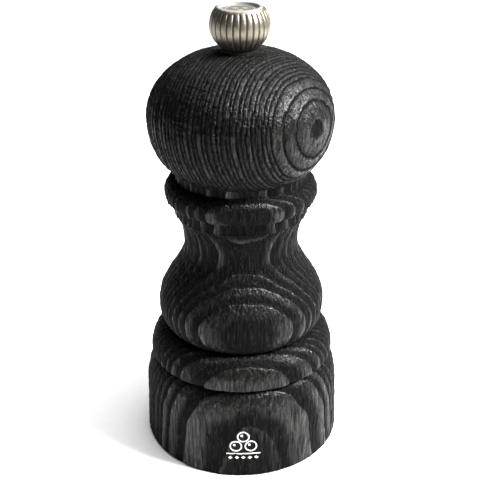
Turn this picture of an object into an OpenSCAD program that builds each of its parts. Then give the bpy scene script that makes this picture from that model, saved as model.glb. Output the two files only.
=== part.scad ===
// Table pepper mill: a turned wooden body and head round a conical steel grinder.
// Origin: centre of the foot, on the surface the mill stands on. +Z is up.

/* [Overall] */
// Height from the foot to the top of the knob
mill_h = 120.4; // [120:0.1:121]
// Height at which the head rests on the body
split_z = 79.4; // [79:0.1:80]
// Height of the head's flat top
head_top_z = 109.7; // [109.5:0.1:110]

/* [Turned outline] */
// Radius of the foot
foot_r = 27.5; // [27.2:0.1:28.5]
// Radius where the base turns over into its shoulder
base_r = 27.1; // [26:0.1:27.1]
// Largest radius of the bead above the base
bead_r = 25.5; // [24.6:0.1:26]
// Largest radius of the belly
belly_r = 22.8; // [22:0.1:24]
// Smallest radius, at the neck
neck_r = 15.4; // [14.8:0.1:16]
// Largest radius of the collar
collar_r = 20.2; // [19.8:0.1:20.6]
// Largest radius of the head
head_r = 24.1; // [23:0.1:25]

/* [Wood bores] */
// Radius of the peppercorn chamber
chamber_r = 11.2; // [10.8:0.1:11.4]
// Radius of the socket that takes the head
socket_r = 13.2; // [13.2:0.1:13.4]
// Radius of the head's spigot
spigot_r = 12.9; // [12.5:0.1:12.9]
// Length of the head's spigot
spigot_h = 12; // [11:0.5:12]

/* [Grinder] */
// Width of the square drive shaft across its flats
shaft_w = 5; // [4.8:0.1:5]
// Number of grooves round the rotor burr
rotor_teeth = 20; // [16:1:24]
// Number of grooves round the burr ring
ring_teeth = 28; // [24:1:30]
// Radial gap between the two burrs
burr_gap = 0.45; // [0.4:0.05:0.8]
// Turns of the burr spring
spring_turns = 5; // [4:1:5]
// Radius of the spring wire
wire_r = 0.4; // [0.3:0.05:0.45]
// Pitch of the adjusting thread
thread_pitch = 0.8; // [0.7:0.1:1]

/* [Knob] */
// Largest radius of the knob
knob_r = 7.55; // [7.3:0.05:7.8]
// Number of flutes round the knob
flutes = 28; // [20:1:32]
// Radius of the round cutter that leaves each flute
flute_r = 0.24; // [0.18:0.02:0.3]

/* [Hidden] */

wood = "#232220";
steel = "#9c9c9a";
dark_steel = "#6d6d6c";
bronze = "#a8875a";
pewter = "#a89f90";
eps = 0.01;
arc_n = 12;
$fn = 96;

// Heights of the turned outline, from the foot up
base_z = 14;
groove_z = 25.3;
groove_r = 23.1;
bead_z = 26.4;
waist_z = 34.2;
waist_r = 19.5;
belly_z = 41;
neck_z = 58.8;
cove_z = 67.2;
cove_r = 17.6;
listel_r = 17.8;
lip_z = 70.9;
lip_r = 19.4;
collar_z = 73.5;
collar_top_r = 16;
collar_top_z = 77.4;
band_r = 17.4;
foot_edge = 0.6;

// Bores of the body, from the foot up
recess_r = 21;
recess_z = 5.2;
housing_bore_r = 16.7;
housing_bore_z = 19.4;
bridge_bore_r = 14.4;
bridge_bore_z = 27.2;
socket_z = split_z - spigot_h - 1.4;

// Grinder housing
flange_r = 20.4;
flange_t = 1;
wall_r = 16.6;
wall_t = 1;
lip_in_r = 12.6;
lip_t = 0.8;
housing_top = 17.6;
screw_ring_r = 18.5;
screw_r = 1.2;
screw_count = 3;

// Burrs: both cones share one slope
ring_low = 6.3;
ring_high = housing_top - lip_t;
throat_z = 14.6;
ring_bottom_r = 13.4;
throat_r = 9.6;
mouth_r = 11.8;
burr_slope = (ring_bottom_r - throat_r) / (throat_z - ring_low);
rotor_low = 5.2;
rotor_shoulder_z = 13.4;
hub_r = 5.2;
hub_z = 15.4;
rotor_top = 17.2;

// Bridge, bush and spring
bridge_w = 8;
bridge_pad_r = 6.4;
bridge_t = 1;
bridge_z = 25;
bridge_x = 13.4;
foot_x = 16;
foot_t = 0.8;
rivet_x = 14.9;
rivet_r = 0.8;
bush_r = 4.4;
shaft_round = 3.2;
bush_bore = shaft_round + 0.06;
thrust_t = 0.7;
cup_t = 0.8;
cup_r = 5.8;
coil_r = 4.6;

// Shaft
shaft_low = 4.4;
shaft_high = 104;
stud_r = 2.4;
stud_root = 2;
stud_top = 116.5;
tail_r = 2.2;
tail_low = 1.7;
nut_flats = 8;

// Head
head_low_r = 17.6;
head_wide_z = 93.4;
head_flat_r = 4.9;
head_bore_r = 4.2;
plate_r = 10.5;
plate_t = 1.2;
plate_hole = 5.4;
plate_screw_x = 7.5;
plate_screw_r = 1.1;
ferrule_h = 5;
ferrule_bore = 2.9;
ferrule_flange_t = 0.8;

// Knob
washer_t = 0.5;
washer_r = 4.6;
knob_low = head_top_z + washer_t;
knob_foot_r = 4;
knob_mid = mill_h - 4.5;
knob_top_r = 6.05;
disc_r = 4.7;
rim_r = 5.7;
rim_h = 0.22;
disc_t = 0.6;
disc_sink = 0.5;
tap_r = stud_r + 0.05;

function arc(cx, cz, a, b, from, to) =
    [for (i = [0 : arc_n]) let (t = from + (to - from) * i / arc_n) [cx + a * cos(t), cz + b * sin(t)]];

function bezier(p0, p1, p2, p3) =
    [for (i = [0 : arc_n]) let (t = i / arc_n, u = 1 - t)
        u * u * u * p0 + 3 * u * u * t * p1 + 3 * u * t * t * p2 + t * t * t * p3];

// Outside of the body, from the foot to the rim that the head rests on
function body_outline() = concat(
    [[foot_r - foot_edge, 0], [foot_r, foot_edge]],
    arc(groove_r, base_z, base_r - groove_r, groove_z - base_z, 0, 90),
    arc(groove_r, bead_z, bead_r - groove_r, bead_z - groove_z, -80, 0),
    arc(waist_r, bead_z, bead_r - waist_r, waist_z - bead_z, 6, 90),
    arc(waist_r, belly_z, belly_r - waist_r, belly_z - waist_z, -82, -6),
    bezier([belly_r, belly_z], [belly_r, belly_z + 0.39 * (neck_z - belly_z)],
        [neck_r, neck_z - 0.33 * (neck_z - belly_z)], [neck_r, neck_z]),
    [for (p = bezier([neck_r, neck_z], [neck_r, neck_z + 0.55 * (cove_z - neck_z)],
        [cove_r - 1.1, cove_z - 1.4], [cove_r, cove_z])) if (p[1] > neck_z) p],
    [[listel_r, cove_z], [listel_r, lip_z]],
    arc(lip_r, collar_z, collar_r - lip_r, collar_z - lip_z, -90, -8),
    arc(collar_top_r, collar_z, collar_r - collar_top_r, collar_top_z - collar_z, 0, 72),
    [[band_r, split_z]]);

// Bores of the body, from the rim down to the foot
function body_bores() = [
    [socket_r, split_z], [socket_r, socket_z],
    [chamber_r, socket_z], [chamber_r, bridge_bore_z],
    [bridge_bore_r, bridge_bore_z], [bridge_bore_r, housing_bore_z],
    [housing_bore_r, housing_bore_z], [housing_bore_r, recess_z],
    [recess_r, recess_z], [recess_r, 0]];

// Outside of the head, from its seat on the body to its flat top
function head_outline() = concat(
    bezier([head_low_r, split_z],
        [head_low_r + 0.51 * (head_r - head_low_r), split_z + 0.12 * (head_wide_z - split_z)],
        [head_r, head_wide_z - 0.51 * (head_wide_z - split_z)], [head_r, head_wide_z]),
    [for (p = bezier([head_r, head_wide_z], [head_r, head_wide_z + 0.557 * (head_top_z - head_wide_z)],
        [0.59 * head_r, head_top_z], [head_flat_r, head_top_z])) if (p[1] > head_wide_z) p]);

// Outside of the knob: two elliptic arcs that meet at its widest place, under a narrow raised rim
function knob_outline() = let (
    low_b = (knob_mid - knob_low) / sin(acos(knob_foot_r / knob_r)),
    high_b = (mill_h - rim_h - knob_mid) / sin(acos(knob_top_r / knob_r)))
    concat(
        arc(0, knob_mid, knob_r, low_b, -acos(knob_foot_r / knob_r), 0),
        [for (p = arc(0, knob_mid, knob_r, high_b, 0, acos(knob_top_r / knob_r))) if (p[1] > knob_mid) p],
        [[rim_r, mill_h]]);

// Rotor or ring radius on the shared burr cone at height z
function cone_r(z) = ring_bottom_r - (z - ring_low) * burr_slope;

module square_hole(w, low, high) {
    translate([-w / 2, -w / 2, low]) cube([w, w, high - low]);
}

module washer(r, hole_r, low, thick) {
    translate([0, 0, low]) difference() {
        cylinder(r = r, h = thick);
        translate([0, 0, -1]) cylinder(r = hole_r, h = thick + 2);
    }
}

// Screw that points up, with a pan head under the face at height z
module up_screw(x, y, z, r, head_r, head_h, length) {
    translate([x, y, z]) {
        cylinder(r = r, h = length - 1.5);
        translate([0, 0, length - 1.5]) cylinder(r1 = r, r2 = 0.3, h = 1.5);
        difference() {
            translate([0, 0, -head_h]) cylinder(r = head_r, h = head_h);
            translate([-head_r, -0.25, -head_h - eps]) cube([2 * head_r, 0.5, head_h / 2]);
        }
    }
}

module mill_body() {
    color(wood) difference() {
        rotate_extrude() polygon(concat(body_outline(), body_bores()));
        for (i = [0 : screw_count - 1]) {
            rotate([0, 0, 90 + i * 360 / screw_count]) translate([screw_ring_r, 0, recess_z - 1])
                cylinder(r = screw_r, h = 11);
        }
    }
}

module grinder_housing() {
    flange_low = recess_z - flange_t;
    inner = wall_r - wall_t;
    color(steel) difference() {
        rotate_extrude() polygon([
            [inner, flange_low], [flange_r, flange_low], [flange_r, recess_z], [wall_r, recess_z],
            [wall_r, housing_top], [lip_in_r, housing_top], [lip_in_r, ring_high], [inner, ring_high],
            [inner, ring_low], [inner + 0.3, ring_low], [inner + 0.3, ring_low - 1.1], [inner, ring_low - 1.1]]);
        for (i = [0 : screw_count - 1]) {
            rotate([0, 0, 90 + i * 360 / screw_count]) translate([screw_ring_r, 0, flange_low - 1])
                cylinder(r = screw_r, h = flange_t + 2);
        }
        for (side = [-1, 1]) {
            translate([side * rivet_x, 0, ring_high - 1]) cylinder(r = rivet_r, h = lip_t + 2);
        }
    }
}

module housing_screws() {
    color(steel) for (i = [0 : screw_count - 1]) {
        rotate([0, 0, 90 + i * 360 / screw_count])
            up_screw(screw_ring_r, 0, recess_z - flange_t, screw_r, 1.8, 1, 10);
    }
}

// One tooth gap: a round cutter that lies along the burr cone and leans round it
module tooth_gap(z, r, depth, length, lean) {
    translate([r, 0, z]) rotate([lean, -atan(burr_slope), 0]) translate([depth, 0, -length / 2])
        cylinder(r = 0.75, h = length, $fn = 24);
}

module burr_ring() {
    mid = (ring_low + throat_z) / 2;
    color(dark_steel) difference() {
        rotate_extrude() polygon([
            [ring_bottom_r, ring_low], [wall_r - wall_t, ring_low], [wall_r - wall_t, ring_high],
            [mouth_r, ring_high], [throat_r, throat_z]]);
        for (i = [0 : ring_teeth - 1]) {
            rotate([0, 0, i * 360 / ring_teeth]) tooth_gap(mid, cone_r(mid), 0.25, 30, 18);
        }
    }
}

module burr_clip() {
    color(steel) rotate([0, 0, 20]) rotate_extrude(angle = 320)
        translate([wall_r - wall_t - 0.25, ring_low - 0.55]) circle(r = 0.5, $fn = 24);
}

module guide_bridge() {
    leg_low = housing_top;
    color(steel) difference() {
        union() {
            translate([-bridge_x, -bridge_w / 2, bridge_z]) cube([2 * bridge_x, bridge_w, bridge_t]);
            translate([0, 0, bridge_z]) cylinder(r = bridge_pad_r, h = bridge_t);
            for (side = [0, 1]) mirror([side, 0, 0]) {
                translate([bridge_x - bridge_t, -bridge_w / 2, leg_low])
                    cube([bridge_t, bridge_w, bridge_z - leg_low + eps]);
                translate([bridge_x - bridge_t, -bridge_w / 2, leg_low])
                    cube([foot_x - bridge_x + bridge_t, bridge_w, foot_t]);
            }
        }
        translate([0, 0, bridge_z - 1]) cylinder(r = bush_r, h = bridge_t + 2);
        for (side = [-1, 1]) {
            translate([side * rivet_x, 0, leg_low - 1]) cylinder(r = rivet_r, h = foot_t + 2);
        }
    }
}

module bridge_rivets() {
    color(steel) for (side = [-1, 1]) translate([side * rivet_x, 0, 0]) {
        translate([0, 0, ring_high]) cylinder(r = rivet_r, h = lip_t + foot_t);
        translate([0, 0, housing_top + foot_t]) cylinder(r1 = 1.3, r2 = 0.9, h = 0.6);
    }
}

module bridge_bush() {
    flange_z = bridge_z + bridge_t;
    color(bronze) rotate_extrude() polygon([
        [bush_bore, bridge_z], [bush_r, bridge_z], [bush_r, flange_z], [bush_r + 1.2, flange_z],
        [bush_r + 1.2, flange_z + 0.7], [bush_r, flange_z + 1], [bush_bore, flange_z + 1]]);
}

module thrust_washer() {
    color(steel) washer(cup_r, shaft_round + 0.2, bridge_z - thrust_t, thrust_t);
}

// Compression spring with a closed turn at each end, swept round the shaft
module burr_spring() {
    sides = 8;
    steps = 24;
    low = rotor_top + cup_t + wire_r;
    high = bridge_z - thrust_t - wire_r;
    closed = 2.1 * wire_r;
    open_rise = (high - low - 2 * closed) / (spring_turns - 2);
    rings = spring_turns * steps;
    rise = [for (i = [0 : rings]) let (t = i / steps)
        t < 1 ? closed * t :
        t > spring_turns - 1 ? high - low - closed * (spring_turns - t) :
        closed + open_rise * (t - 1)];
    points = [for (i = [0 : rings]) for (j = [0 : sides - 1])
        let (a = 360 * i / steps, b = 360 * j / sides, r = coil_r + wire_r * cos(b))
        [r * cos(a), r * sin(a), low + rise[i] + wire_r * sin(b)]];
    skin = [for (i = [0 : rings - 1]) for (j = [0 : sides - 1])
        let (k = (j + 1) % sides)
        [i * sides + j, i * sides + k, (i + 1) * sides + k, (i + 1) * sides + j]];
    start = [for (j = [0 : sides - 1]) sides - 1 - j];
    end = [for (j = [0 : sides - 1]) rings * sides + j];
    color(steel) polyhedron(points = points, faces = concat(skin, [start, end]));
}

module spring_cup() {
    color(steel) difference() {
        rotate_extrude() polygon([
            [0, rotor_top], [cup_r, rotor_top], [cup_r, rotor_top + cup_t + 0.5],
            [cup_r - 0.4, rotor_top + cup_t + 0.5], [cup_r - 0.4, rotor_top + cup_t], [0, rotor_top + cup_t]]);
        square_hole(shaft_w, rotor_top - 1, rotor_top + cup_t + 1);
    }
}

// Square rod with rounded corners and a threaded stud at each end
module drive_shaft() {
    threads = floor((stud_top - shaft_high - 1.2) / thread_pitch);
    ridge = [for (i = [0 : threads - 1]) let (z = shaft_high + 1 + i * thread_pitch) each
        [[stud_root, z], [stud_r, z + 0.3 * thread_pitch], [stud_r, z + 0.5 * thread_pitch],
            [stud_root, z + 0.8 * thread_pitch]]];
    color(steel) {
        intersection() {
            square_hole(shaft_w, shaft_low, shaft_high);
            translate([0, 0, shaft_low]) cylinder(r = shaft_round, h = shaft_high - shaft_low);
        }
        rotate_extrude() polygon(concat([[0, shaft_high - 1], [stud_root, shaft_high - 1]], ridge,
            [[stud_root, stud_top - 0.4], [stud_root - 0.4, stud_top], [0, stud_top]]));
        translate([0, 0, tail_low]) cylinder(r = tail_r, h = shaft_low - tail_low + 1);
    }
}

module rotor_burr() {
    mid = (rotor_low + rotor_shoulder_z) / 2;
    feeders = 5;
    color(dark_steel) difference() {
        rotate_extrude() polygon([
            [0, rotor_low], [cone_r(rotor_low) - burr_gap, rotor_low],
            [cone_r(rotor_shoulder_z) - burr_gap, rotor_shoulder_z], [hub_r, hub_z],
            [hub_r, rotor_top], [0, rotor_top]]);
        for (i = [0 : rotor_teeth - 1]) {
            rotate([0, 0, i * 360 / rotor_teeth]) tooth_gap(mid, cone_r(mid) - burr_gap, 0.3, 14, -22);
        }
        for (i = [0 : feeders - 1]) {
            rotate([0, 0, i * 360 / feeders]) translate([hub_r + 0.4, 0, rotor_shoulder_z - 0.3])
                rotate([0, -24, 24]) cube([9, 1.6, 4]);
        }
        square_hole(shaft_w, rotor_low - 1, rotor_top + 1);
    }
}

module rotor_washer() {
    low = rotor_low - cup_t;
    color(steel) difference() {
        translate([0, 0, low]) cylinder(r = 6.5, h = cup_t);
        square_hole(shaft_w, low - 1, rotor_low + 1);
    }
}

module shaft_nut() {
    nut_low = tail_low + 0.4;
    corner_r = nut_flats / 2 / cos(30);
    color(steel) difference() {
        intersection() {
            translate([0, 0, nut_low]) cylinder(r = corner_r, h = shaft_low - nut_low, $fn = 6);
            translate([0, 0, nut_low])
                cylinder(r1 = nut_flats / 2, r2 = nut_flats / 2 + 2 * (shaft_low - nut_low), h = shaft_low - nut_low);
        }
        translate([0, 0, nut_low - 1]) cylinder(r = tail_r, h = shaft_low - nut_low + 2);
    }
}

module mill_head() {
    spigot_low = split_z - spigot_h;
    color(wood) difference() {
        rotate_extrude() polygon(concat(
            [[head_bore_r, spigot_low], [spigot_r - 0.6, spigot_low], [spigot_r, spigot_low + 0.6],
                [spigot_r, split_z]],
            head_outline(),
            [[head_flat_r, head_top_z - ferrule_flange_t], [head_bore_r, head_top_z - ferrule_flange_t]]));
        for (side = [-1, 1]) {
            translate([side * plate_screw_x, 0, spigot_low - 1]) cylinder(r = plate_screw_r, h = 10);
        }
    }
}

module drive_plate() {
    high = split_z - spigot_h;
    color(steel) difference() {
        translate([0, 0, high - plate_t]) cylinder(r = plate_r, h = plate_t);
        square_hole(plate_hole, high - plate_t - 1, high + 1);
        for (side = [-1, 1]) {
            translate([side * plate_screw_x, 0, high - plate_t - 1]) cylinder(r = plate_screw_r, h = plate_t + 2);
        }
    }
}

module plate_screws() {
    color(steel) for (side = [-1, 1]) {
        up_screw(side * plate_screw_x, 0, split_z - spigot_h - plate_t, plate_screw_r, 2, 0.9, 10);
    }
}

module top_ferrule() {
    flange_z = head_top_z - ferrule_flange_t;
    color(bronze) rotate_extrude() polygon([
        [ferrule_bore, head_top_z - ferrule_h], [head_bore_r, head_top_z - ferrule_h], [head_bore_r, flange_z],
        [head_flat_r, flange_z], [head_flat_r, head_top_z], [ferrule_bore, head_top_z]]);
}

module knob_washer() {
    color(dark_steel) washer(washer_r, ferrule_bore, head_top_z, washer_t);
}

// Fluted cast knob with a tapped bore and a shallow recess for its disc
module adjusting_knob() {
    low_b = (knob_mid - knob_low) / sin(acos(knob_foot_r / knob_r));
    bend_r = low_b * low_b / knob_r;
    recess_low = mill_h - disc_sink - disc_t;
    color(pewter) difference() {
        rotate_extrude() polygon(concat(
            [[tap_r, knob_low]], knob_outline(),
            [[disc_r, mill_h], [disc_r, recess_low], [0, recess_low], [0, stud_top + 0.8], [tap_r, stud_top + 0.8]]));
        for (i = [0 : flutes - 1]) {
            rotate([90, 0, i * 360 / flutes]) translate([knob_r - bend_r, knob_mid, 0])
                rotate([0, 0, -42]) rotate_extrude(angle = 72)
                translate([bend_r, 0]) circle(r = flute_r, $fn = 16);
        }
    }
}

module knob_disc() {
    color(dark_steel) translate([0, 0, mill_h - disc_sink - disc_t]) cylinder(r = disc_r, h = disc_t);
}

mill_body();
grinder_housing();
housing_screws();
burr_ring();
burr_clip();
guide_bridge();
bridge_rivets();
bridge_bush();
thrust_washer();
burr_spring();
spring_cup();
drive_shaft();
rotor_burr();
rotor_washer();
shaft_nut();
mill_head();
drive_plate();
plate_screws();
top_ferrule();
knob_washer();
adjusting_knob();
knob_disc();
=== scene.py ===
"""A 12 cm table pepper mill: brushed black ash on a steel grinder, with a fluted metal knob."""
import math

import bmesh
import bpy
import numpy as np
from mathutils import Matrix, Vector
from mathutils.bvhtree import BVHTree


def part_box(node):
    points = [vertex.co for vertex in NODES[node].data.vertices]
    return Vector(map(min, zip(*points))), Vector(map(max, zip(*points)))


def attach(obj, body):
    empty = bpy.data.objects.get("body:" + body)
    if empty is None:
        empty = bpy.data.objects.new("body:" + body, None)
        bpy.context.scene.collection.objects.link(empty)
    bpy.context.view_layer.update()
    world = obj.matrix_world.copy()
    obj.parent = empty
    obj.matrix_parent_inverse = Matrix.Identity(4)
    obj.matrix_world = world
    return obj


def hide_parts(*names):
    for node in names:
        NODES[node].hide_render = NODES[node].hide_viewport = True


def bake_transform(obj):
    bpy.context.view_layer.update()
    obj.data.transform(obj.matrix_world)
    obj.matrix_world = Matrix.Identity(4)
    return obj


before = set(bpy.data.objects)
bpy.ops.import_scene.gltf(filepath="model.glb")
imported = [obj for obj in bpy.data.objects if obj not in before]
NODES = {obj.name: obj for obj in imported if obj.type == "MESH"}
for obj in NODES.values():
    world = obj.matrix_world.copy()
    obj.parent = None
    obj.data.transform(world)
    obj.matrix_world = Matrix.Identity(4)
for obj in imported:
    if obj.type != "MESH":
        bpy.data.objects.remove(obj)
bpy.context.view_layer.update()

MM = 0.001
FRONT = -90.0  # the angle of the front, -Y, round the mill's axis

# ---------------------------------------------------------------- noise


class Lattice:
    """Smooth seeded gradient noise in three dimensions, from about -1 to 1."""

    def __init__(self, seed):
        rng = np.random.default_rng(seed)
        self.order = np.concatenate([rng.permutation(256)] * 3)
        slopes = rng.normal(size=(256, 3))
        self.slopes = slopes / np.linalg.norm(slopes, axis=1)[:, None]

    def __call__(self, points):
        cell = np.floor(points).astype(int)
        part = points - cell
        ease = part ** 3 * (part * (part * 6 - 15) + 10)
        cell &= 255
        total = np.zeros(len(points))
        for corner in np.ndindex(2, 2, 2):
            at = cell + np.array(corner)
            key = self.order[self.order[self.order[at[:, 0]] + at[:, 1]] + at[:, 2]]
            away = part - np.array(corner)
            share = np.where(corner, ease, 1 - ease).prod(axis=1)
            total += share * (self.slopes[key] * away).sum(axis=1)
        return total * 1.6


def smooth(low, high, value):
    """0 up to low, 1 from high on, and an even S between them."""
    t = np.clip((value - low) / (high - low), 0, 1)
    return t * t * (3 - 2 * t)


# ---------------------------------------------------------------- growth rings


class Timber:
    """A block of ash. Rings are counted across the layers, in mm from the middle of the turned piece."""

    def __init__(self, seed, face, tilt, middle, pith, mirrored, years, depth, fade, rough, bow, rays,
                 chatter):
        angle, lean = math.radians(FRONT + face), math.radians(tilt)
        flat = np.array([math.cos(angle), math.sin(angle), 0])
        self.out = flat * math.cos(lean) + np.array([0, 0, math.sin(lean)])
        self.along = np.array([-math.sin(angle), math.cos(angle), 0])
        self.middle = middle  # height of the block's middle
        self.pith = pith      # distance of the pith from the axis, less than 0 on the far side
        self.mirrored = mirrored  # True where each hard ridge drops off towards the face
        self.start, self.soft, self.firm = np.array(years).T
        self.depth = depth
        self.fade = fade      # how much of each ridge's height is lost over its width
        self.rough = rough    # how far the fibres stand out in the soft wood
        self.bow = bow        # bend of the layers over the height, per mm squared
        self.rays = rays
        self.chatter = chatter
        self.warp = Lattice(seed)
        self.fine = Lattice(seed + 1)

    def under(self, p):
        """1 below the stepped line where the brush has torn the layers, 0 above it. Below the line the ridges
        also carry painted shade.
        """
        if not self.chatter:
            return np.zeros(len(p))
        round_way = 24 * np.arctan2(p[:, 0], -p[:, 1]) + 2.5 * self.warp(p * 0.11 + 41)
        line = self.middle + 8.5 - 0.95 * np.mod(round_way + 19, 7.3) + 0.5 * self.warp(p / 3 + 13)
        return 1 - smooth(-0.12, 0.12, p[:, 2] - line)

    def ring(self, p):
        """Where points p in mm lie among the rings, in mm, with the layers' natural waviness."""
        level = p - np.array([0, 0, self.middle])
        across, side, z = level @ self.out, level @ self.along, level[:, 2]
        ring = self.pith - np.sign(self.pith) * np.hypot(across - self.pith, side)
        ring = ring - self.bow * z ** 2
        if not self.mirrored:
            ring += 0.85 * (1 - smooth(13, 20, p[:, 2])) + 0.03 * np.clip(14 - p[:, 2], 0, None)
            ring -= 0.04 * np.clip(p[:, 2] - 58, 0, None)
        stretched = p * np.array([1, 1, 0.2])
        ring += 0.5 * self.warp(stretched / 16) + 0.2 * self.warp(stretched / 4 + 7)
        ring += 0.4 * self.under(p) * (1 - smooth(19, 21, ring))
        return ring + 0.1 * self.fine(p * np.array([1, 1, 0.35]) / 1.1)

    def height(self, p):
        """Relief of the brushed wood at points p in mm: 0 in the soft early wood, 1 on the hard crests."""
        ring = self.ring(p)
        year = np.clip(np.searchsorted(self.start, ring) - 1, 0, len(self.start) - 2)
        start, end, soft = self.start[year], self.start[year + 1], self.soft[year]
        age = end - ring if self.mirrored else ring - start
        span = end - start
        edge = np.minimum(0.14, 0.14 * span)
        late = np.clip((age - soft) / (span - soft), 0, 1)
        slump = late ** (1.2 + np.clip(span - 2, 0, 2))
        hard = self.firm[year] * (1 - 0.2 * smooth(0, 0.3, late) - self.fade * slump)
        early = 0.2 * (1 - smooth(0, 0.8, age / soft))
        rise = smooth(soft - edge, soft + 0.4 * edge, age)
        return np.clip(rise * hard + (1 - rise) * early, 0, 1)

    def cut(self, p):
        """How far the brushed surface lies under the turned one at points p, in mm, and its ring height."""
        height = self.height(p)
        strands = self.fine(p * np.array([1.1, 1.1, 0.12]) + 3)
        strands += 0.7 * self.fine(p * np.array([2.6, 2.6, 0.3]) + 11)
        torn = smooth(0.3, 0.5, self.warp(p * np.array([1.3, 1.3, 0.2]) + 29))
        across, side = p @ self.out, p @ self.along
        flecks = self.fine(np.stack([across * 0.22, side * 1.6, p[:, 2] * 1.9], axis=1) + 5)
        flecks = self.rays * smooth(0.3, 0.5, flecks)
        swell = self.warp(p * np.array([0.45, 0.45, 0.3]) + 17)
        under = self.under(p)
        rough = self.rough * (1 - 0.4 * height)
        cut = self.depth * (1 - height * (1 - 0.45 * torn)) + rough * strands + 0.1 * flecks
        cut = cut + 0.07 * swell + 0.12 * under
        # Below the torn line the ring height is lowered, so those ridges are drawn darker and duller: partly
        # torn fibre, partly painted shade.
        return np.maximum(cut, 0) + 0.02, height * (1 - 0.35 * torn) * (1 - 0.12 * under)


def ring_years(first, last, step, share, firm, marks):
    """Rings as (start, soft width, firmness): even ones from first to last, with the marked ones let in."""
    low, high = marks[0][0], marks[-1][0]
    years = []
    for i in range(int((last - first) / step)):
        start = first + step * (i + 0.1 * math.sin(3.7 * i))
        if start < low - 0.5 * step or start > high + 0.5 * step:
            years.append((start, share * step, firm + 0.25 * math.sin(5.3 * i) ** 2))
    return sorted(years + list(marks))


# Each mark is a ring's start, its soft width and how firm its hard wood is.
BODY_MARKS = [(13.3, 0.7, 0.8), (15.0, 0.9, 0.8), (16.8, 0.75, 1.0), (19.1, 0.8, 0.85), (22.35, 1.2, 1.0),
              (27.05, 0.7, 0.55)]
HEAD_MARKS = [(17.6, 0.4, 1.0), (20.0, 0.35, 1.0), (22.1, 0.8, 1.0), (24.5, 0.4, 0.7)]


def body_timber():
    """Flat-sawn: its rings face the front."""
    years = ring_years(-32, 34, 1.75, 0.38, 0.5, BODY_MARKS)
    return Timber(3, face=5, tilt=0, middle=40, pith=-85, mirrored=False, years=years, depth=0.38,
                  fade=0.6, rough=0.16, bow=0, rays=0.3, chatter=False)


def head_timber():
    """Its rings face the front right, a little upwards, and turn the other way."""
    years = ring_years(-34, 30, 1.15, 0.34, 0.75, HEAD_MARKS)
    return Timber(21, face=53, tilt=7, middle=93.4, pith=60, mirrored=True, years=years, depth=0.5,
                  fade=0.3, rough=0.1, bow=0.008, rays=1.0, chatter=True)


# ---------------------------------------------------------------- turned pieces


def section(node, axis):
    """A turned CAD node's closed outline as (radius, height) in mm, on the half plane at +X or +Y."""
    bm = bmesh.new()
    bm.from_mesh(NODES[node].data)
    bmesh.ops.remove_doubles(bm, verts=bm.verts, dist=1e-6)
    rings = {(round(math.hypot(v.co.x, v.co.y) / MM, 2), round(v.co.z / MM, 2)) for v in bm.verts}
    normal = Vector((0, 1, 0)) if axis == 0 else Vector((1, 0, 0))
    cut = bmesh.ops.bisect_plane(bm, geom=bm.verts[:] + bm.edges[:] + bm.faces[:], dist=1e-7,
                                 plane_co=(0, 0, 0), plane_no=normal)["geom_cut"]
    edges = [e for e in cut if isinstance(e, bmesh.types.BMEdge)
             and all(v.co[axis] > 1e-5 for v in e.verts)]
    links = {}
    for e in edges:
        a, b = e.verts
        links.setdefault(a, []).append(b)
        links.setdefault(b, []).append(a)
    loops, seen = [], set()
    for begin in links:
        if begin in seen:
            continue
        loop, at, before = [begin], begin, None
        seen.add(begin)
        while True:
            onward = [v for v in links[at] if v != before and v not in seen]
            if not onward:
                break
            before, at = at, onward[0]
            seen.add(at)
            loop.append(at)
        loops.append([(v.co[axis] / MM, v.co.z / MM) for v in loop])
    bm.free()
    loop = np.array(max(loops, key=len))
    known = np.array(sorted(rings))
    for i, point in enumerate(loop):
        gap = np.hypot(*(known - point).T)
        if gap.min() < 0.25:
            loop[i] = known[gap.argmin()]
    keep = np.hypot(*(loop - np.roll(loop, 1, axis=0)).T) > 0.02
    loop = loop[keep]
    x, z = loop.T
    if (x * np.roll(z, -1) - np.roll(x, -1) * z).sum() < 0:
        loop = loop[::-1]
    return straightened(loop)


def turns(loop):
    """The turn in radians at each point of a closed loop."""
    before = loop - np.roll(loop, 1, axis=0)
    after = np.roll(loop, -1, axis=0) - loop
    cross = before[:, 0] * after[:, 1] - before[:, 1] * after[:, 0]
    return np.arctan2(cross, (before * after).sum(axis=1))


def straightened(loop):
    """The closed loop without points that lie on a straight run."""
    straight = math.radians(0.4)
    return loop[np.abs(turns(loop)) > straight]


def refined(loop, spacing):
    """The closed loop with points spacing(point) mm apart, curved between its gentle corners."""
    count = len(loop)
    corner = math.radians(24)
    sharp = np.abs(turns(loop)) > corner
    out = []
    for i in range(count):
        a, b = loop[i], loop[(i + 1) % count]
        length = np.hypot(*(b - a))
        steps = max(1, int(round(length / spacing((a + b) / 2))))
        start = b - a if sharp[i] else 0.5 * (b - loop[i - 1])
        end = b - a if sharp[(i + 1) % count] else 0.5 * (loop[(i + 2) % count] - a)
        start, end = (v * min(1.0, length / max(np.hypot(*v), 1e-9)) for v in (start, end))
        for k in range(steps):
            t = k / steps
            out.append((2 * t ** 3 - 3 * t ** 2 + 1) * a + (t ** 3 - 2 * t ** 2 + t) * start
                       + (3 * t ** 2 - 2 * t ** 3) * b + (t ** 3 - t ** 2) * end)
    return np.array(out)


def loop_normals(loop):
    """Outward normals of a closed anticlockwise loop."""
    run = np.roll(loop, -1, axis=0) - np.roll(loop, 1, axis=0)
    normals = np.stack([run[:, 1], -run[:, 0]], axis=1)
    return normals / np.maximum(np.linalg.norm(normals, axis=1), 1e-9)[:, None]


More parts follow.
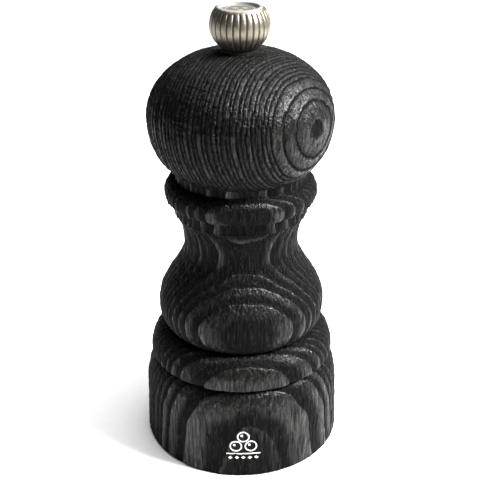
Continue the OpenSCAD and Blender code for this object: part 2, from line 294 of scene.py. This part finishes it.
def mesh_object(name, verts, faces, attributes=None, shade=True, slots=None):
    """A new object in the scene, with attributes as values per point and slots as one per face."""
    mesh = bpy.data.meshes.new(name)
    mesh.from_pydata(verts, [], faces)
    if slots is not None:
        mesh.polygons.foreach_set("material_index", np.asarray(slots, np.int32))
    for key, values in (attributes or {}).items():
        mesh.attributes.new(key, "FLOAT", "POINT").data.foreach_set("value", np.asarray(values, np.float32))
    if shade:
        mesh.shade_smooth()
    else:
        mesh.shade_flat()
    mesh.update()
    obj = bpy.data.objects.new(name, mesh)
    bpy.context.scene.collection.objects.link(obj)
    return obj


def ring_faces(rows, sides, closed_rows=True):
    """Quads of a grid that closes on itself round the axis, and along the outline if closed_rows."""
    i = np.arange(rows if closed_rows else rows - 1)[:, None]
    j = np.arange(sides)[None, :]
    up, on = (i + 1) % rows, (j + 1) % sides
    corners = [i * sides + j, i * sides + on, up * sides + on, up * sides + j]
    return np.stack(corners, axis=-1).reshape(-1, 4).tolist()


def spun(outline, sides):
    """Points in mm of an outline spun round the axis, row by row, and the angle of each."""
    angle = np.linspace(0, 2 * math.pi, sides, endpoint=False)
    radius = outline[:, 0][:, None]
    points = np.stack([radius * np.cos(angle), radius * np.sin(angle),
                       np.repeat(outline[:, 1][:, None], sides, axis=1)], axis=-1)
    return points.reshape(-1, 3), np.tile(angle, len(outline))


def spun_normals(outline, angle, sides):
    """The outward normal of each point that spun makes of a closed outline."""
    flat = np.repeat(loop_normals(outline), sides, axis=0)
    return np.stack([flat[:, 0] * np.cos(angle), flat[:, 0] * np.sin(angle), flat[:, 1]], axis=1)


def turned_wood(name, node, axis, timber, shown, bare, sides, fine, coarse):
    """A turned wooden piece: the CAD outline, spun, with the rings' relief cut into its brushed faces."""
    outline = refined(section(node, axis), lambda p: fine if shown(p) > 0 else coarse)
    points, angle = spun(outline, sides)
    weight = np.repeat([shown(p) for p in outline], sides)
    cut, height = timber.cut(points)
    moved = points - spun_normals(outline, angle, sides) * (cut * weight)[:, None]
    middles = (outline + np.roll(outline, -1, axis=0)) / 2
    slots = np.repeat([int(bare(m)) for m in middles], sides)
    return mesh_object(name, moved * MM, ring_faces(len(outline), sides), {"ring": height}, slots=slots)


# ---------------------------------------------------------------- materials


class Paint:
    """A node material with short calls for the nodes that it needs."""

    def __init__(self, name):
        self.material = bpy.data.materials.new(name)
        self.material.use_nodes = True
        self.tree = self.material.node_tree
        self.shader = self.tree.nodes["Principled BSDF"]
        coords = self.tree.nodes.new("ShaderNodeTexCoord")
        self.mm = self.vector("SCALE", coords.outputs["Object"], scale=1 / MM)

    def node(self, kind, inputs=(), **settings):
        made = self.tree.nodes.new(kind)
        for key, value in settings.items():
            setattr(made, key, value)
        for key, value in dict(inputs).items():
            self.feed(made.inputs[key], value)
        return made

    def feed(self, socket, value):
        if isinstance(value, bpy.types.NodeSocket):
            self.tree.links.new(value, socket)
        else:
            socket.default_value = value

    def vector(self, operation, a, b=None, scale=None):
        made = self.tree.nodes.new("ShaderNodeVectorMath")
        made.operation = operation
        self.feed(made.inputs[0], a)
        if b is not None:
            self.feed(made.inputs[1], b)
        if scale is not None:
            made.inputs["Scale"].default_value = scale
        return made.outputs[0]

    def math(self, operation, a, b=0.0):
        made = self.tree.nodes.new("ShaderNodeMath")
        made.operation = operation
        self.feed(made.inputs[0], a)
        self.feed(made.inputs[1], b)
        return made.outputs[0]

    def stretch(self, x, y, z):
        return self.vector("MULTIPLY", self.mm, (x, y, z))

    def noise(self, where, scale, detail=2.0, rough=0.5, distortion=0.0):
        made = self.node("ShaderNodeTexNoise", {"Vector": where, "Scale": scale, "Detail": detail,
                                                "Roughness": rough, "Distortion": distortion})
        return made.outputs["Fac"]

    def ramp(self, value, low, high, to_low=0.0, to_high=1.0):
        made = self.node("ShaderNodeMapRange", {"Value": value, "From Min": low, "From Max": high,
                                                "To Min": to_low, "To Max": to_high})
        made.interpolation_type = "SMOOTHSTEP"
        return made.outputs["Result"]

    def blend(self, share, a, b):
        made = self.tree.nodes.new("ShaderNodeMix")
        made.data_type = "RGBA"
        self.feed(made.inputs["Factor"], share)
        self.feed(made.inputs["A"], a if isinstance(a, bpy.types.NodeSocket) else (*a, 1))
        self.feed(made.inputs["B"], b if isinstance(b, bpy.types.NodeSocket) else (*b, 1))
        return made.outputs["Result"]

    def attribute(self, name):
        return self.node("ShaderNodeAttribute", attribute_name=name).outputs["Fac"]

    def bump(self, height, distance, strength):
        made = self.node("ShaderNodeBump", {"Height": height, "Distance": distance, "Strength": strength})
        return made.outputs["Normal"]

    def polar(self):
        """Radius, height and turn of the point round the mill's axis, as a vector in mm."""
        apart = self.node("ShaderNodeSeparateXYZ", {"Vector": self.mm})
        x, y, z = apart.outputs
        radius = self.math("SQRT", self.math("ADD", self.math("MULTIPLY", x, x), self.math("MULTIPLY", y, y)))
        turn = self.math("ARCTAN2", y, x)
        return self.node("ShaderNodeCombineXYZ", {"X": radius, "Y": z, "Z": turn}).outputs["Vector"]

    def finish(self, **sockets):
        for key, value in sockets.items():
            self.feed(self.shader.inputs[key.replace("_", " ")], value)
        return self.material


def brushed_ash():
    """Black-stained ash: the brush leaves the hard late wood standing, with a satin finish on its ridges. Its
    colour also holds a painted highlight on the crests and painted glints among the light flecks.
    """
    paint = Paint("brushed_black_ash")
    ring = paint.attribute("ring")
    fibre = paint.noise(paint.stretch(1, 1, 0.07), 2.4, 3, 0.65)
    thread = paint.noise(paint.stretch(1, 1, 0.05), 5.0, 2, 0.6)
    tick = paint.noise(paint.stretch(1, 1, 0.15), 2.7, 1, 0.5, 0.3)
    cloud = paint.noise(paint.mm, 0.09, 3, 0.5)
    grit = paint.noise(paint.mm, 6.0, 2, 0.6)

    soft = paint.math("SUBTRACT", 1.0, ring)
    strand = paint.noise(paint.stretch(1, 1, 0.1), 1.2, 3, 0.7)
    groove = paint.blend(paint.ramp(fibre, 0.32, 0.7), (0.00045, 0.00045, 0.00045), (0.0031, 0.003, 0.0028))
    ridge = paint.blend(paint.ramp(fibre, 0.3, 0.68), (0.0014, 0.0014, 0.0013), (0.008, 0.0079, 0.0073))
    tone = paint.blend(paint.ramp(ring, 0.1, 0.8), groove, ridge)
    # Lighter tone on the ridge crests: partly stain rubbed off, partly a painted highlight where the gloss
    # catches the light.
    worn_crest_and_highlight = paint.ramp(ring, 0.8, 0.97, 0.0, 0.7)
    worn_crest_and_highlight = paint.math("MULTIPLY", worn_crest_and_highlight, paint.ramp(strand, 0.35, 0.6, 0.3, 1.0))
    tone = paint.blend(worn_crest_and_highlight, tone, (0.0128, 0.0126, 0.0118))
    tone = paint.blend(paint.ramp(strand, 0.38, 0.56, 0.75, 0.0), tone, (0.00051, 0.00051, 0.00051))
    tone = paint.blend(paint.ramp(cloud, 0.35, 0.75, 0.0, 0.4), tone, (0.0013, 0.0013, 0.0013))
    # Light flecks, more in the soft grooves: partly dust, partly painted glints of light.
    dust_and_glints = paint.math("MULTIPLY", paint.ramp(tick, 0.6, 0.7), paint.ramp(grit, 0.35, 0.6))
    dust_and_glints = paint.math("MULTIPLY", dust_and_glints, paint.ramp(soft, 0.0, 0.6, 0.4, 0.8))
    tone = paint.blend(dust_and_glints, tone, (0.0218, 0.0214, 0.0198))

    rough = paint.ramp(ring, 0.2, 0.9, 0.72, 0.45)
    rough = paint.math("ADD", rough, paint.ramp(fibre, 0.3, 0.7, 0.08, -0.07))
    sealed = paint.ramp(ring, 0.25, 0.8, 0.03, 0.66)
    sealed = paint.math("MULTIPLY", sealed, paint.ramp(tick, 0.35, 0.6, 1.0, 0.5))
    sealed = paint.math("MULTIPLY", sealed, paint.ramp(strand, 0.38, 0.62, 0.5, 1.2))
    sealed = paint.math("MULTIPLY", sealed, paint.ramp(fibre, 0.32, 0.66, 0.55, 1.25))
    height = paint.math("ADD", paint.math("MULTIPLY", fibre, 0.55), paint.math("MULTIPLY", thread, 0.35))
    height = paint.math("ADD", height, paint.math("MULTIPLY", tick, 0.35))
    height = paint.math("ADD", height, paint.math("MULTIPLY", grit, 0.1))
    height = paint.math("MULTIPLY", height, paint.ramp(soft, 0.0, 0.7, 0.4, 1.0))
    normal = paint.bump(height, 0.00042, 0.9)
    return paint.finish(Base_Color=tone, Roughness=rough, Normal=normal, Specular_IOR_Level=0.05,
                        Coat_Weight=sealed, Coat_Roughness=0.27, Coat_Normal=normal)


def bare_ash():
    """Unstained ash inside the bores, darkened a little by oil and pepper dust."""
    paint = Paint("bare_ash")
    grain = paint.noise(paint.stretch(1, 1, 0.05), 1.6, 4, 0.6)
    pore = paint.noise(paint.stretch(1, 1, 0.06), 5.0, 2, 0.6)
    cloud = paint.noise(paint.mm, 0.12, 3, 0.5)
    tone = paint.blend(paint.ramp(grain, 0.35, 0.7), (0.42, 0.29, 0.17), (0.25, 0.155, 0.085))
    tone = paint.blend(paint.ramp(pore, 0.58, 0.7, 0.0, 0.7), tone, (0.09, 0.055, 0.03))
    tone = paint.blend(paint.ramp(cloud, 0.4, 0.75, 0.0, 0.5), tone, (0.17, 0.115, 0.07))
    height = paint.math("SUBTRACT", grain, paint.math("MULTIPLY", pore, 0.5))
    return paint.finish(Base_Color=tone, Roughness=paint.ramp(grain, 0.3, 0.7, 0.55, 0.7),
                        Normal=paint.bump(height, 0.0001, 0.7))


def pewter():
    """Cast knob in aged nickel: warm grey, satin, with painted shade in the flutes and on the foot under the
    belly.
    """
    paint = Paint("cast_pewter")
    flute = paint.attribute("flute")
    edge = paint.attribute("polish")
    cloud = paint.noise(paint.mm, 0.7, 4, 0.6)
    grain = paint.noise(paint.mm, 9.0, 3, 0.7)
    tone = paint.blend(paint.ramp(cloud, 0.3, 0.72), (0.185, 0.166, 0.13), (0.285, 0.262, 0.214))
    tone = paint.blend(paint.ramp(grain, 0.45, 0.75, 0.0, 0.4), tone, (0.14, 0.122, 0.093))
    # Painted shade: the flute grooves and the foot under the belly are drawn darker.
    tone = paint.blend(paint.math("MULTIPLY", flute, 0.9), tone, (0.055, 0.046, 0.032))
    tone = paint.blend(edge, tone, (0.2, 0.199, 0.195))
    rough = paint.math("ADD", paint.ramp(grain, 0.3, 0.7, 0.33, 0.45), paint.math("MULTIPLY", flute, 0.22))
    rough = paint.math("ADD", rough, paint.math("MULTIPLY", edge, 0.15))
    metal = paint.math("SUBTRACT", 1.0, paint.math("MULTIPLY", edge, 0.85))
    height = paint.math("MULTIPLY", grain, paint.math("SUBTRACT", 1.0, paint.math("MULTIPLY", edge, 0.9)))
    return paint.finish(Base_Color=tone, Metallic=metal, Roughness=rough,
                        Normal=paint.bump(height, 0.00003, 0.7))


def disc_metal():
    """The knob's inset disc: sand-cast matt ground with worn, brighter raised lines."""
    paint = Paint("aged_disc")
    raised = paint.attribute("raised")
    grain = paint.noise(paint.mm, 7.0, 3, 0.7)
    tone = paint.blend(paint.ramp(grain, 0.35, 0.7), (0.062, 0.056, 0.043), (0.09, 0.082, 0.066))
    tone = paint.blend(raised, tone, (0.2, 0.196, 0.184))
    rough = paint.ramp(raised, 0, 1, 0.65, 0.45)
    return paint.finish(Base_Color=tone, Metallic=0.2, Roughness=rough,
                        Normal=paint.bump(grain, 0.00004, 0.8))


def turned_metal(name, light, dark, rough, lines=2.2, grain=6.0, wear=(0.8, 0.8, 0.8)):
    """Machined or pressed metal: fine tool lines round the axis, small stains and brighter worn spots."""
    paint = Paint(name)
    tool = paint.noise(paint.vector("MULTIPLY", paint.polar(), (lines, lines, 0.15)), 3.0, 3, 0.7)
    stain = paint.noise(paint.mm, 0.35, 4, 0.6)
    spots = paint.noise(paint.mm, grain, 2, 0.6)
    tone = paint.blend(paint.ramp(stain, 0.35, 0.7), dark, light)
    tone = paint.blend(paint.ramp(spots, 0.62, 0.75, 0.0, 0.4), tone, wear)
    uneven = paint.math("ADD", paint.ramp(tool, 0.3, 0.7, rough - 0.07, rough + 0.07),
                        paint.ramp(stain, 0.3, 0.7, 0.05, -0.05))
    height = paint.math("ADD", paint.math("MULTIPLY", tool, 0.7), paint.math("MULTIPLY", spots, 0.3))
    return paint.finish(Base_Color=tone, Metallic=1.0, Roughness=uneven,
                        Normal=paint.bump(height, 0.00002, 0.6))


def drawn_metal(name, light, dark, rough):
    """Drawn bar or wire: streaks along the height, with darker oxide between them."""
    paint = Paint(name)
    streak = paint.noise(paint.stretch(1, 1, 0.02), 5.0, 3, 0.7)
    cloud = paint.noise(paint.mm, 0.25, 3, 0.6)
    tone = paint.blend(paint.ramp(streak, 0.3, 0.7), dark, light)
    tone = paint.blend(paint.ramp(cloud, 0.45, 0.75, 0.0, 0.4), tone, dark)
    uneven = paint.ramp(streak, 0.3, 0.7, rough - 0.05, rough + 0.1)
    return paint.finish(Base_Color=tone, Metallic=1.0, Roughness=uneven,
                        Normal=paint.bump(streak, 0.00002, 0.6))


def blackened():
    """Blackened steel, matt, with faint patches."""
    paint = Paint("blackened_washer")
    cloud = paint.noise(paint.mm, 2.0, 4, 0.6)
    tone = paint.blend(paint.ramp(cloud, 0.4, 0.7), (0.006, 0.0055, 0.005), (0.018, 0.0165, 0.0145))
    return paint.finish(Base_Color=tone, Metallic=0.6, Roughness=paint.ramp(cloud, 0.3, 0.7, 0.45, 0.62),
                        Normal=paint.bump(cloud, 0.00003, 0.5))


def white_ink():
    """Pad-printed ink: slightly yellow white that wears through over the pores."""
    paint = Paint("white_ink")
    wear = paint.noise(paint.stretch(1, 1, 0.2), 4.0, 3, 0.7)
    tone = paint.blend(paint.ramp(wear, 0.55, 0.75), (0.8, 0.8, 0.77), (0.4, 0.4, 0.385))
    return paint.finish(Base_Color=tone, Roughness=0.55, Normal=paint.bump(wear, 0.00003, 0.5))


# ---------------------------------------------------------------- pieces


def make_body(material, raw):
    """The body: its outside is brushed, and the foot's recess and the bores above it are bare."""
    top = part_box("mill_body")[1].z / MM
    recess_r, recess_top = 21.6, 6.0
    housing_r, housing_top = 16.9, 28.0
    chamber_r = 14.2

    def shown(p):
        """How deep the brush went at a point of the outline, eased off at the foot and at the rim."""
        radius, z = p
        recess = radius < recess_r and z < recess_top
        housing = radius < housing_r and z < housing_top
        if recess or housing or radius <= chamber_r or z <= 0.05 or z > top - 0.05:
            return 0.0
        return min(1.0, 0.15 + z / 1.2, 0.3 + (top - z) / 1.0)

    def bare(p):
        """Whether a run of the outline round this point is unstained."""
        radius, z = p
        bore = 21.5 if z < 5.3 else 17.2 if z < housing_top else 13.5
        return 0.1 < z < top - 0.02 and radius < bore

    obj = turned_wood("turned_body", "mill_body", 0, body_timber(), shown, bare, 800, 0.26, 1.6)
    obj.data.materials.append(material)
    obj.data.materials.append(raw)
    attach(obj, "body")
    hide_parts("mill_body")
    return obj


def make_head(material, raw):
    """The head: brushed outside, with a bare spigot and bore."""
    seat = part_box("mill_body")[1].z / MM
    ferrule_r, bore_r = 4.8, 4.3

    def shown(p):
        """How deep the brush went at a point of the outline, eased off at the seat and the ferrule."""
        radius, z = p
        if z < seat + 0.02 or radius < ferrule_r:
            return 0.0
        return min(1.0, 0.2 + (z - seat) / 0.8, 0.2 + (radius - ferrule_r) / 1.0)

    def bare(p):
        """Whether a run of the outline round this point is unstained."""
        radius, z = p
        return z < seat - 0.05 or radius < bore_r

    obj = turned_wood("turned_head", "mill_head", 1, head_timber(), shown, bare, 800, 0.19, 1.4)
    obj.data.materials.append(material)
    obj.data.materials.append(raw)
    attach(obj, "head")
    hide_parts("mill_head")


def widest(node, low, high):
    """The largest radius in mm of a CAD node between two heights in mm."""
    mesh = NODES[node].data
    radii = [math.hypot(v.co.x, v.co.y) for v in mesh.vertices if low <= v.co.z / MM <= high]
    return max(radii) / MM


def arc(mid, radius, tall, start, end, count):
    """Points of an elliptic arc round (0, mid), between two angles in radians."""
    a = np.linspace(start, end, count)
    return np.stack([radius * np.cos(a), mid + tall * np.sin(a)], axis=1)


def make_knob(material):
    """The knob: a barrel turned from two elliptic arcs, with flutes pressed into it up to the bright rim."""
    flutes, per_flute, groove_share, groove_depth = 28, 20, 0.24, 0.26
    low, high = (corner.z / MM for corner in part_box("adjusting_knob"))
    mid, brow = high - 4.5, high - 0.22
    belly = widest("adjusting_knob", mid - 0.6, mid + 0.6)
    foot = widest("adjusting_knob", low, low + 0.05)
    disc_r, disc_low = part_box("knob_disc")[1].x / MM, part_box("knob_disc")[0].z / MM
    rim_in, rim_out, shoulder = disc_r + 0.02, 5.6, 6.0
    start, end = math.acos(foot / belly), math.acos(shoulder / belly)
    lower = arc(mid, belly, (mid - low) / math.sin(start), -start, 0, 48)
    upper = arc(mid, belly, (brow - mid) / math.sin(end), 0, end, 36)[1:]
    rim = [(rim_out + 0.12, high - 0.2), (rim_out + 0.05, high - 0.08), (rim_out - 0.1, high - 0.01),
           (rim_out - 0.3, high), (rim_in + 0.25, high), (rim_in + 0.08, high - 0.05), (rim_in, high - 0.16)]
    tap_r = 2.46
    inside = [(rim_in, disc_low), (tap_r, disc_low), (tap_r, low)]
    outline = np.concatenate([lower, upper, rim, inside])
    sides = flutes * per_flute
    points, angle = spun(outline, sides)
    radius = np.repeat(outline[:, 0], sides)
    z = points[:, 2]
    part = np.abs((angle * flutes / (2 * math.pi)) % 1.0 - 0.5) * 2
    outside = np.repeat(np.arange(len(outline)) < len(lower) + len(upper) - 2, sides)
    run = smooth(low + 0.1, low + 1.4, z) * (1 - smooth(high - 0.9, high - 0.45, z)) * outside
    share = groove_share * np.sqrt(belly / np.maximum(radius, 1))
    groove = smooth(1 - share - 0.16, 1 - share + 0.12, part)
    crown = 0.07 * np.clip(part / (1 - groove_share), 0, 1) ** 2
    cut = run * (groove * groove_depth + crown * (1 - groove))
    moved = points - spun_normals(outline, angle, sides) * cut[:, None]
    polish = smooth(high - 0.2, high - 0.1, z) * (radius > rim_in - 0.01)
    polish = np.maximum(polish, np.abs(radius - rim_in) < 0.01)
    # Painted shade mask: the flute grooves and the foot under the belly, to be drawn darker. The same mask
    # also roughens them.
    shaded = np.clip(run * groove + 0.6 * (1 - smooth(low, low + 2.2, z)), 0, 1)
    obj = mesh_object("fluted_knob", moved * MM, ring_faces(len(outline), sides),
                      {"flute": shaded, "polish": polish})
    obj.data.materials.append(material)
    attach(obj, "knob")
    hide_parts("adjusting_knob")


def make_disc(material):
    """The knob's inset disc, with a raised ring and three raised peppercorns."""
    low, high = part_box("knob_disc")
    rim = high.x / MM - 0.02
    top, under = high.z / MM, low.z / MM
    rows, sides = 64, 192
    line_r, line_w, lift, sunk = 3.5, 0.16, 0.12, 0.16
    corn_r, corn_out = 0.85, 1.35
    radius = np.linspace(0.02, rim, rows)
    angle = np.linspace(0, 2 * math.pi, sides, endpoint=False)
    r, a = np.meshgrid(radius, angle, indexing="ij")
    x, y = r * np.cos(a), r * np.sin(a)
    raised = np.exp(-((r - line_r) / line_w) ** 2)
    for k in range(3):
        turn = math.radians(FRONT + 120 * k)
        gap = np.hypot(x - corn_out * math.cos(turn), y - corn_out * math.sin(turn))
        raised = np.maximum(raised, np.sqrt(np.clip(1 - (gap / corn_r) ** 2, 0, 1)))
    edge = 1 - smooth(rim - 0.25, rim, r)
    z = top - sunk + lift * raised - 0.08 * (1 - edge)
    upper = np.stack([x, y, z], axis=-1).reshape(-1, 3)
    lower = np.stack([rim * np.cos(angle), rim * np.sin(angle), np.full(sides, under)], axis=-1)
    verts = np.concatenate([upper, lower, [[0, 0, top - sunk], [0, 0, under]]])
    faces = ring_faces(rows + 1, sides, closed_rows=False)
    centre, bottom = len(verts) - 2, len(verts) - 1
    faces += [[centre, (j + 1) % sides, j][::-1] for j in range(sides)]
    faces += [[rows * sides + j, rows * sides + (j + 1) % sides, bottom] for j in range(sides)]
    flags = np.concatenate([raised.reshape(-1), np.zeros(sides + 2)])
    obj = mesh_object("knob_badge", verts * MM, faces, {"raised": flags})
    fix_normals(obj)
    obj.data.materials.append(material)
    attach(obj, "knob")
    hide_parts("knob_disc")


def fix_normals(obj):
    """Turns every face of the closed mesh outwards."""
    bm = bmesh.new()
    bm.from_mesh(obj.data)
    bmesh.ops.recalc_face_normals(bm, faces=bm.faces)
    bm.to_mesh(obj.data)
    bm.free()


def make_spring(material):
    """The burr spring: round wire in a helix with a closed, ground turn at each end."""
    low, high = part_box("burr_spring")
    turns, steps, sides, wire = 5, 72, 16, 0.4
    mean = high.x / MM - wire
    bottom, top = low.z / MM + wire, high.z / MM - wire
    closed = 2.1 * wire
    t = np.linspace(0, turns, turns * steps + 1)
    rise = np.interp(t, [0, 1, turns - 1, turns], [0, closed, top - bottom - closed, top - bottom])
    a = 2 * math.pi * t
    b = np.linspace(0, 2 * math.pi, sides, endpoint=False)
    aa, bb = np.meshgrid(a, b, indexing="ij")
    r = mean + wire * np.cos(bb)
    verts = np.stack([r * np.cos(aa), r * np.sin(aa), bottom + rise[:, None] + wire * np.sin(bb)], axis=-1)
    verts = verts.reshape(-1, 3)
    faces = ring_faces(len(t), sides, closed_rows=False)
    last = (len(t) - 1) * sides
    faces += [list(range(sides))[::-1], [last + j for j in range(sides)]]
    obj = mesh_object("helical_spring", verts * MM, faces)
    fix_normals(obj)
    obj.data.materials.append(material)
    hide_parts("burr_spring")
    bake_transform(obj)


def dot(x, y, radius):
    """Points of a small circle."""
    angles = np.linspace(0, 2 * math.pi, 20, endpoint=False)
    return [(x + radius * math.cos(a), y + radius * math.sin(a)) for a in angles]


def print_shapes():
    """The flat motif in mm as (points, hole points): three peppercorns over a rule and five lozenges."""
    shapes = []
    for x, y in ((-1.5, 1.9), (1.5, 1.9), (0.0, 4.1)):
        shapes.append((dot(x, y, 1.25), dot(x, y, 1.0)))
        shapes.append((dot(x - 0.3, y + 0.3, 0.26), None))
    shapes.append(([(-3.4, 0.0), (3.4, 0.0), (3.4, 0.22), (-3.4, 0.22)], None))
    for i in range(5):
        x = -2.6 + 1.3 * i
        shapes.append(([(x - 0.42, -0.85), (x, -1.2), (x + 0.42, -0.85), (x, -0.5)], None))
    return shapes


def make_print(body, material):
    """The motif laid on the brushed front of the base: thin ink that follows the relief."""
    foot_z, side, scale = 7.3, 0.3, 1.35
    ink, lift = 0.03, 0.035
    base_r, longest = 27.2, 0.24
    tree = BVHTree.FromObject(body, bpy.context.evaluated_depsgraph_get())
    bm = bmesh.new()
    for outer, hole in print_shapes():
        if hole:
            a = [bm.verts.new((x, 0, y)) for x, y in outer]
            b = [bm.verts.new((x, 0, y)) for x, y in hole]
            count = len(a)
            for i in range(count):
                bm.faces.new((a[i], a[(i + 1) % count], b[(i + 1) % count], b[i]))
        else:
            bm.faces.new([bm.verts.new((x, 0, y)) for x, y in outer])
    bmesh.ops.triangulate(bm, faces=bm.faces)
    for _ in range(4):
        long_edges = [e for e in bm.edges if e.calc_length() > longest]
        if not long_edges:
            break
        bmesh.ops.subdivide_edges(bm, edges=long_edges, cuts=1)
        bmesh.ops.triangulate(bm, faces=bm.faces)
    for v in bm.verts:
        angle = math.radians(FRONT) + (side + v.co.x * scale) / base_r
        z = (foot_z + v.co.z * scale) * MM
        way = Vector((math.cos(angle), math.sin(angle), 0))
        hit = tree.ray_cast(Vector((0, 0, z)) + way * 0.05, -way)[0]
        v.co = hit + way * (lift * MM)
    whole = bmesh.ops.extrude_face_region(bm, geom=bm.faces[:])["geom"]
    for v in (g for g in whole if isinstance(g, bmesh.types.BMVert)):
        way = Vector((v.co.x, v.co.y, 0)).normalized()
        v.co += way * (ink * MM)
    bmesh.ops.recalc_face_normals(bm, faces=bm.faces)
    mesh = bpy.data.meshes.new("printed_motif")
    bm.to_mesh(mesh)
    bm.free()
    obj = bpy.data.objects.new("printed_motif", mesh)
    bpy.context.scene.collection.objects.link(obj)
    mesh.materials.append(material)
    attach(obj, "body")


def paint_nodes():
    """Better finishes for the CAD pieces that stay as they are."""
    steel = turned_metal("pressed_steel", (0.56, 0.56, 0.55), (0.4, 0.4, 0.39), 0.34)
    screw = turned_metal("zinc_screw", (0.6, 0.6, 0.58), (0.42, 0.42, 0.4), 0.36, lines=4.0)
    burr = turned_metal("hardened_burr", (0.3, 0.3, 0.3), (0.17, 0.17, 0.175), 0.42, lines=1.2,
                        wear=(0.55, 0.55, 0.54))
    spring = drawn_metal("spring_wire", (0.5, 0.5, 0.5), (0.3, 0.3, 0.3), 0.3)
    shaft = drawn_metal("drawn_bar", (0.42, 0.42, 0.41), (0.27, 0.27, 0.265), 0.36)
    bronze = turned_metal("sintered_bronze", (0.52, 0.36, 0.18), (0.36, 0.24, 0.12), 0.42, grain=9.0,
                          wear=(0.7, 0.52, 0.3))
    finishes = {
        steel: ("grinder_housing", "guide_bridge", "bridge_rivets", "thrust_washer", "spring_cup",
                "rotor_washer", "drive_plate"),
        screw: ("housing_screws", "shaft_nut", "plate_screws"),
        burr: ("burr_ring", "rotor_burr"),
        spring: ("burr_clip",),
        shaft: ("drive_shaft",),
        bronze: ("bridge_bush",),
        blackened(): ("knob_washer", "top_ferrule"),
    }
    for material, names in finishes.items():
        for name in names:
            for place in NODES[name].material_slots:
                place.material = material
    return spring


# ---------------------------------------------------------------- stage


def toward(azimuth, elevation):
    """The way to a light. Azimuth 0 is the camera's side and 90 is to its right."""
    a, e = math.radians(azimuth), math.radians(elevation)
    return Vector((math.sin(a) * math.cos(e), -math.cos(a) * math.cos(e), math.sin(e)))


def area_light(name, azimuth, elevation, distance, size, power):
    """A softbox that faces the middle of the mill from a distance in metres."""
    aim = Vector((0, 0, 0.06))
    data = bpy.data.lights.new(name, "AREA")
    data.shape, data.size, data.size_y = "RECTANGLE", size[0], size[1]
    data.energy = power
    obj = bpy.data.objects.new(name, data)
    way = toward(azimuth, elevation)
    obj.location = aim + way * distance
    obj.rotation_euler = way.to_track_quat("Z", "Y").to_euler()
    bpy.context.scene.collection.objects.link(obj)


def sky_light(name, azimuth, elevation, spread, strength):
    """A very wide, even light from far away, spread degrees across."""
    data = bpy.data.lights.new(name, "SUN")
    data.energy, data.angle = strength, math.radians(spread)
    obj = bpy.data.objects.new(name, data)
    obj.rotation_euler = toward(azimuth, elevation).to_track_quat("Z", "Y").to_euler()
    bpy.context.scene.collection.objects.link(obj)


def make_floor():
    """A wide, flat, pale sheet under the mill."""
    paint = Paint("paper")
    speck = paint.noise(paint.mm, 0.6, 3, 0.6)
    tone = paint.blend(paint.ramp(speck, 0.3, 0.7), (0.79, 0.79, 0.786), (0.81, 0.81, 0.806))
    material = paint.finish(Base_Color=tone, Roughness=0.75, Specular_IOR_Level=0.2)
    size = 3.0
    verts = [(-size, -size, 0), (size, -size, 0), (size, size, 0), (-size, size, 0)]
    floor = mesh_object("floor", verts, [[0, 1, 2, 3]], shade=False)
    floor.data.materials.append(material)


def make_world():
    """A dim white surround that the camera itself sees as plain white."""
    world = bpy.data.worlds.new("studio")
    bpy.context.scene.world = world
    world.use_nodes = True
    tree = world.node_tree
    back = tree.nodes["Background"]
    back.inputs["Color"].default_value = (1, 1, 1, 1)
    back.inputs["Strength"].default_value = 0.05
    seen = tree.nodes.new("ShaderNodeBackground")
    seen.inputs["Color"].default_value = (1, 1, 1, 1)
    seen.inputs["Strength"].default_value = 1.15
    path = tree.nodes.new("ShaderNodeLightPath")
    mix = tree.nodes.new("ShaderNodeMixShader")
    tree.links.new(path.outputs["Is Camera Ray"], mix.inputs["Fac"])
    tree.links.new(back.outputs[0], mix.inputs[1])
    tree.links.new(seen.outputs[0], mix.inputs[2])
    tree.links.new(mix.outputs[0], tree.nodes["World Output"].inputs["Surface"])


def make_camera():
    """The viewpoint: in front of the mill and above it, tilted down."""
    data = bpy.data.cameras.new("camera")
    data.sensor_width, data.lens = 36.0, 70.2
    data.clip_start = 0.01
    camera = bpy.data.objects.new("camera", data)
    camera.location = (-0.00026, -0.2264, 0.16915)
    pitch, roll = Matrix.Rotation(math.radians(63.81), 3, "X"), Matrix.Rotation(math.radians(-0.35), 3, "Z")
    camera.rotation_euler = (pitch @ roll).to_euler()
    bpy.context.scene.collection.objects.link(camera)
    bpy.context.scene.camera = camera


def make_stage():
    """The surround, floor, camera and lights."""
    make_world()
    make_floor()
    make_camera()
    area_light("right_softbox", 73, 42, 0.55, (0.15, 0.17), 12.0)
    sky_light("overhead", 118, 66, 88, 5.8)
    view = bpy.context.scene.view_settings
    view.view_transform, view.look = "Standard", "None"


def main():
    make_stage()
    ash = brushed_ash()
    spring_steel = paint_nodes()
    raw = bare_ash()
    body = make_body(ash, raw)
    make_head(ash, raw)
    make_knob(pewter())
    make_disc(disc_metal())
    make_spring(spring_steel)
    make_print(body, white_ink())


main()
